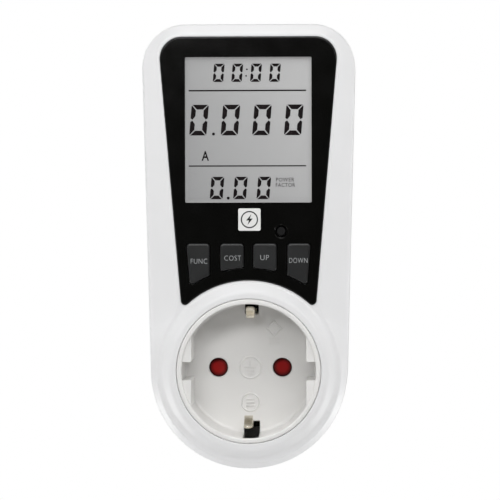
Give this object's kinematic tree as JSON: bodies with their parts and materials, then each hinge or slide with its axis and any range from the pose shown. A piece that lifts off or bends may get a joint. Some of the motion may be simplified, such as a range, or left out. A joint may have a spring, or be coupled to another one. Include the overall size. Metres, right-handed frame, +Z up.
{
  "type": "plug-in power meter",
  "caption": "Plug-in energy meter: tapered white case, black fascia with grey display and keys, earthed round socket in front and matching two-pin plug behind.",
  "frame": {"origin": "middle of the plug's end face, midway between the two plug pins", "axes": "+Z up along the case, the front with display and socket faces -Y, the plug pins point along +Y, +X is to the viewer's right"},
  "size_m": [0.0628, 0.076, 0.1302],
  "materials": {
    "case_white": "satin white moulded case plastic",
    "socket_white": "white polycarbonate, slightly glossier than the case",
    "fascia_black": "polished black",
    "key_grey": "dark grey satin keys",
    "lens_clear": "clear acrylic window",
    "lcd_grey": "grey reflective liquid crystal display",
    "reflector": "matt silver-white film",
    "badge_white": "white printed plate",
    "label_silver": "plain matt silver label",
    "inner_plastic": "black moulded plastic",
    "shutter_red": "dark red moulded plastic",
    "base_plastic": "cream thermoset",
    "elastomer": "striped conductive rubber",
    "board_green": "green solder mask",
    "capacitor_yellow": "yellow potted case",
    "capacitor_sleeve": "dark shrink sleeve",
    "varistor_blue": "blue lacquer",
    "chip_black": "black epoxy",
    "steel": "zinc-plated steel",
    "spring_steel": "spring wire",
    "nickel": "nickel-plated brass",
    "contact_brass": "rolled brass",
    "copper_alloy": "copper alloy strip",
    "cell_steel": "nickel-plated cell"
  },
  "bodies": {
    "root": {"front_case": "case_white", "rear_case": "case_white", "plug_body": "case_white", "rating_label": "label_silver", "case_screws": "steel", "fascia_panel": "fascia_black", "display_lens": "lens_clear", "badge_plate": "badge_white", "lcd_glass": "lcd_grey", "lcd_reflector": "reflector", "lcd_holder": "inner_plastic", "contact_strips": "elastomer", "tactile_switches": "inner_plastic", "display_board": "board_green", "display_board_screws": "steel", "main_board": "board_green", "main_board_screws": "steel", "film_capacitor": "capacitor_yellow", "electrolytic_capacitor": "capacitor_sleeve", "varistor": "varistor_blue", "fuse_link": "steel", "metering_chip": "chip_black", "crystal": "steel", "backup_battery": "cell_steel", "link_header": "inner_plastic", "socket_insert": "socket_white", "socket_base": "base_plastic", "socket_screws": "steel", "earth_strap": "contact_brass", "plug_earth_upper": "nickel", "plug_earth_lower": "nickel", "neutral_busbar": "copper_alloy", "live_bus_in": "copper_alloy", "live_bus_out": "copper_alloy", "shunt": "copper_alloy", "live_contact": "contact_brass", "neutral_contact": "contact_brass", "live_pin": "nickel", "neutral_pin": "nickel"},
    "reset": {"reset_button": "key_grey", "plunger_reset": "inner_plastic"},
    "shutter": {"safety_shutter": "shutter_red", "shutter_spring": "spring_steel"},
    "clip_upper": {"earth_clip_upper": "nickel"},
    "clip_lower": {"earth_clip_lower": "nickel"},
    "key_function_body": {"key_function": "key_grey", "plunger_function": "inner_plastic"},
    "key_cost_body": {"key_cost": "key_grey", "plunger_cost": "inner_plastic"},
    "key_up_body": {"key_up": "key_grey", "plunger_up": "inner_plastic"},
    "key_down_body": {"key_down": "key_grey", "plunger_down": "inner_plastic"}
  },
  "joints": [
    {"name": "key_function_press", "type": "slide", "parent": "root", "child": "key_function_body", "axis": [0, 1, 0], "range_m": [0, 0.0008], "stiffness_N_per_m": 800, "springref_m": -0.0004},
    {"name": "key_cost_press", "type": "slide", "parent": "root", "child": "key_cost_body", "axis": [0, 1, 0], "range_m": [0, 0.0008], "stiffness_N_per_m": 800, "springref_m": -0.0004},
    {"name": "key_up_press", "type": "slide", "parent": "root", "child": "key_up_body", "axis": [0, 1, 0], "range_m": [0, 0.0008], "stiffness_N_per_m": 800, "springref_m": -0.0004},
    {"name": "key_down_press", "type": "slide", "parent": "root", "child": "key_down_body", "axis": [0, 1, 0], "range_m": [0, 0.0008], "stiffness_N_per_m": 800, "springref_m": -0.0004},
    {"name": "reset_press", "type": "slide", "parent": "root", "child": "reset", "axis": [0, 1, 0], "range_m": [0, 0.0006], "stiffness_N_per_m": 800, "springref_m": -0.0004},
    {"name": "shutter_turn", "type": "hinge", "parent": "root", "child": "shutter", "pos_m": [0, -0.036, 0], "axis": [0, 1, 0], "range_deg": [0, 40], "stiffness_Nm_per_rad": 0.002, "springref_deg": -11.46},
    {"name": "clip_upper_flex", "type": "hinge", "parent": "root", "child": "clip_upper", "pos_m": [0, -0.02435, 0.0167], "axis": [-1, 0, 0], "range_deg": [0, 3.5], "stiffness_Nm_per_rad": 2, "springref_deg": -0.57},
    {"name": "clip_lower_flex", "type": "hinge", "parent": "root", "child": "clip_lower", "pos_m": [0, -0.02435, -0.0167], "axis": [1, 0, 0], "range_deg": [0, 7], "stiffness_Nm_per_rad": 2, "springref_deg": -0.57}
  ]
}
